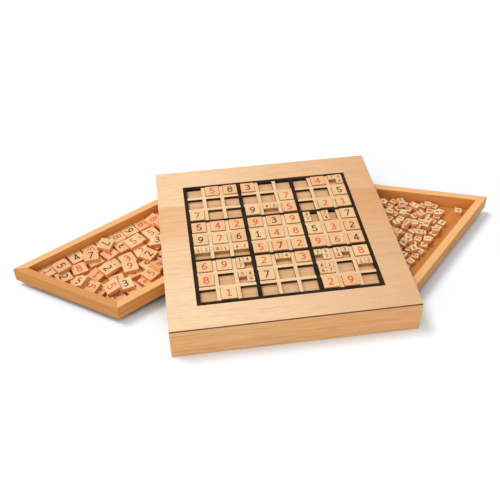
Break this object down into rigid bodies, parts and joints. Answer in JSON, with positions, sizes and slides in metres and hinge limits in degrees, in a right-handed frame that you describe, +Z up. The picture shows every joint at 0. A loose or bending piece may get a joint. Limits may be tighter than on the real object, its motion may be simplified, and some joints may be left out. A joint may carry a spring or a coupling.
{
  "type": "sudoku board",
  "caption": "Square wooden sudoku box: pocketed top with raised strips, black block lines, loose square digit tiles, and a slanted tile tray that swings out on a corner pin at each side.",
  "frame": {"origin": "middle of the underside of the box, on the surface it stands on", "axes": "+X to the right across the two trays, +Y to the back, +Z up out of the pocketed top"},
  "size_m": [0.6462, 0.3, 0.0454],
  "materials": {
    "box_wood": "satin",
    "top_wood": "satin",
    "pocket_wood": "satin",
    "black_wood": "matte",
    "tray_wood": "satin",
    "tile_wood": "satin",
    "steel": "brushed",
    "red_ink": "matte",
    "black_ink": "matte"
  },
  "bodies": {
    "box": {"base_panel": "box_wood", "front_rail": "box_wood", "back_rail": "box_wood", "centre_rail": "box_wood", "pocket_board": "pocket_wood", "top_panel": "top_wood", "block_strips_along": "black_wood", "block_strips_across": "black_wood", "cell_strips_along": "top_wood", "cell_strips_across": "top_wood", "left_pivot_pin": "steel", "right_pivot_pin": "steel", "base_screws": "steel"},
    "left_tray": {"left_tray_post": "tray_wood", "left_tray_outer_wall": "tray_wood", "left_tray_end_wall": "tray_wood", "left_tray_inner_wall": "tray_wood", "left_tray_back_wall": "tray_wood", "left_tray_floor": "tray_wood", "left_tray_tiles": "tile_wood"},
    "right_tray": {"right_tray_post": "tray_wood", "right_tray_outer_wall": "tray_wood", "right_tray_end_wall": "tray_wood", "right_tray_inner_wall": "tray_wood", "right_tray_back_wall": "tray_wood", "right_tray_floor": "tray_wood", "right_tray_tiles": "tile_wood"},
    "row_1_tiles": {"number_tiles_row_1": "tile_wood"},
    "row_2_tiles": {"number_tiles_row_2": "tile_wood"},
    "row_3_tiles": {"number_tiles_row_3": "tile_wood"},
    "row_4_tiles": {"number_tiles_row_4": "tile_wood"},
    "row_5_tiles": {"number_tiles_row_5": "tile_wood"},
    "row_6_tiles": {"number_tiles_row_6": "tile_wood"},
    "row_7_tiles": {"number_tiles_row_7": "tile_wood"},
    "row_8_tiles": {"number_tiles_row_8": "tile_wood"},
    "row_9_tiles": {"number_tiles_row_9": "tile_wood"},
    "row_1_candidates": {"candidate_tiles_row_1": "tile_wood"},
    "row_3_candidates": {"candidate_tiles_row_3": "tile_wood"},
    "row_4_candidates": {"candidate_tiles_row_4": "tile_wood"},
    "row_6_candidates": {"candidate_tiles_row_6": "tile_wood"},
    "row_7_candidates": {"candidate_tiles_row_7": "tile_wood"},
    "row_8_candidates": {"candidate_tiles_row_8": "tile_wood"}
  },
  "joints": [
    {"name": "left_tray_swing", "type": "hinge", "parent": "box", "child": "left_tray", "pos_m": [-0.138, 0.1105, 0.017], "axis": [0, 0, -1], "range_deg": [-59, 31]},
    {"name": "right_tray_swing", "type": "hinge", "parent": "box", "child": "right_tray", "pos_m": [0.138, -0.1065, 0.017], "axis": [0, 0, -1], "range_deg": [-44, 46]},
    {"name": "row_1_tiles_lift", "type": "slide", "parent": "box", "child": "row_1_tiles", "axis": [0, 0, 1], "range_m": [0, 0.03]},
    {"name": "row_2_tiles_lift", "type": "slide", "parent": "box", "child": "row_2_tiles", "axis": [0, 0, 1], "range_m": [0, 0.03]},
    {"name": "row_3_tiles_lift", "type": "slide", "parent": "box", "child": "row_3_tiles", "axis": [0, 0, 1], "range_m": [0, 0.03]},
    {"name": "row_4_tiles_lift", "type": "slide", "parent": "box", "child": "row_4_tiles", "axis": [0, 0, 1], "range_m": [0, 0.03]},
    {"name": "row_5_tiles_lift", "type": "slide", "parent": "box", "child": "row_5_tiles", "axis": [0, 0, 1], "range_m": [0, 0.03]},
    {"name": "row_6_tiles_lift", "type": "slide", "parent": "box", "child": "row_6_tiles", "axis": [0, 0, 1], "range_m": [0, 0.03]},
    {"name": "row_7_tiles_lift", "type": "slide", "parent": "box", "child": "row_7_tiles", "axis": [0, 0, 1], "range_m": [0, 0.03]},
    {"name": "row_8_tiles_lift", "type": "slide", "parent": "box", "child": "row_8_tiles", "axis": [0, 0, 1], "range_m": [0, 0.03]},
    {"name": "row_9_tiles_lift", "type": "slide", "parent": "box", "child": "row_9_tiles", "axis": [0, 0, 1], "range_m": [0, 0.03]},
    {"name": "row_1_candidates_lift", "type": "slide", "parent": "box", "child": "row_1_candidates", "axis": [0, 0, 1], "range_m": [0, 0.03]},
    {"name": "row_3_candidates_lift", "type": "slide", "parent": "box", "child": "row_3_candidates", "axis": [0, 0, 1], "range_m": [0, 0.03]},
    {"name": "row_4_candidates_lift", "type": "slide", "parent": "box", "child": "row_4_candidates", "axis": [0, 0, 1], "range_m": [0, 0.03]},
    {"name": "row_6_candidates_lift", "type": "slide", "parent": "box", "child": "row_6_candidates", "axis": [0, 0, 1], "range_m": [0, 0.03]},
    {"name": "row_7_candidates_lift", "type": "slide", "parent": "box", "child": "row_7_candidates", "axis": [0, 0, 1], "range_m": [0, 0.03]},
    {"name": "row_8_candidates_lift", "type": "slide", "parent": "box", "child": "row_8_candidates", "axis": [0, 0, 1], "range_m": [0, 0.03]}
  ]
}
